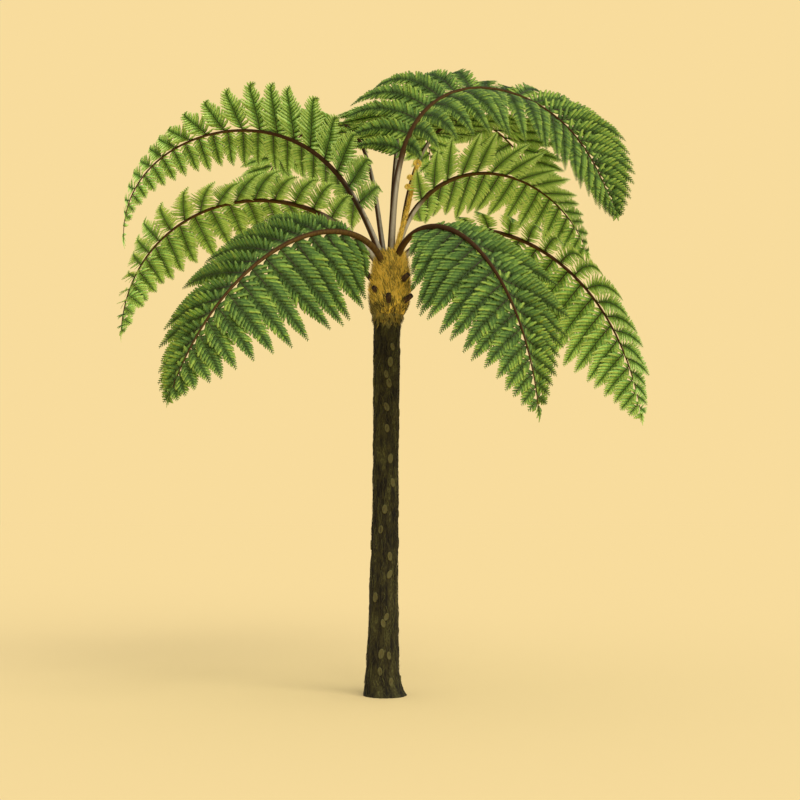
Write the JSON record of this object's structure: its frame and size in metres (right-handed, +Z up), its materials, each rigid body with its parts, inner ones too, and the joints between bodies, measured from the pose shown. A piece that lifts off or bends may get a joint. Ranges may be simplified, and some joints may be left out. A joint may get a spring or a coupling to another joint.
{
  "type": "tree fern",
  "caption": "Tall tree fern: a slim fibrous trunk from a flat ground cut, a golden scaly crown head and a full crown of long, arching, finely divided fronds with one young crozier.",
  "frame": {"origin": "centre of the flat ground cut under the trunk", "axes": "+Z up along the trunk, +X to the right of the front view, +Y away from the front view"},
  "size_m": [4.4121, 4.028, 5.4662],
  "materials": {
    "trunk": "dark brown fibrous mantle, matte, with olive leaf scars",
    "crown_head": "dense golden-brown papery scales, matte",
    "stipe": "smooth stalk, dark brown above and pale grey below, slight sheen",
    "stipe_stump": "dark cut ends of old stalks with golden scaly rims",
    "blade_dark": "deep green upper leaf surface, satin",
    "blade_light": "yellow-green lower leaf surface, matte",
    "crozier": "pale golden scales over a young coiled frond"
  },
  "bodies": {
    "root": {"trunk": "trunk", "crown_head": "crown_head", "stipe_stump_1": "stipe_stump", "stipe_stump_2": "stipe_stump", "stipe_stump_3": "stipe_stump", "stipe_stump_4": "stipe_stump", "stipe_stump_5": "stipe_stump", "stipe_stump_6": "stipe_stump", "stipe_stump_7": "stipe_stump", "stipe_stump_8": "stipe_stump", "stipe_upper_left": "stipe", "blade_upper_left_inner": "blade_light", "blade_upper_left_outer": "blade_light", "stipe_lower_left": "stipe", "blade_lower_left_inner": "blade_light", "blade_lower_left_outer": "blade_light", "stipe_front_left": "stipe", "blade_front_left_inner": "blade_dark", "blade_front_left_outer": "blade_dark", "stipe_top": "stipe", "blade_top_inner": "blade_dark", "blade_top_outer": "blade_dark", "stipe_right": "stipe", "blade_right_inner": "blade_light", "blade_right_outer": "blade_light", "stipe_low_right": "stipe", "blade_low_right_inner": "blade_light", "blade_low_right_outer": "blade_light", "stipe_front_right": "stipe", "blade_front_right_inner": "blade_dark", "blade_front_right_outer": "blade_dark", "stipe_back_left": "stipe", "blade_back_left_inner": "blade_light", "blade_back_left_outer": "blade_light", "stipe_back": "stipe", "blade_back_inner": "blade_dark", "blade_back_outer": "blade_dark", "stipe_back_right": "stipe", "blade_back_right_inner": "blade_light", "blade_back_right_outer": "blade_light", "crozier_stem": "crozier", "crozier_coil_1": "crozier", "crozier_coil_2": "crozier", "crozier_coil_top": "crozier"}
  },
  "joints": []
}
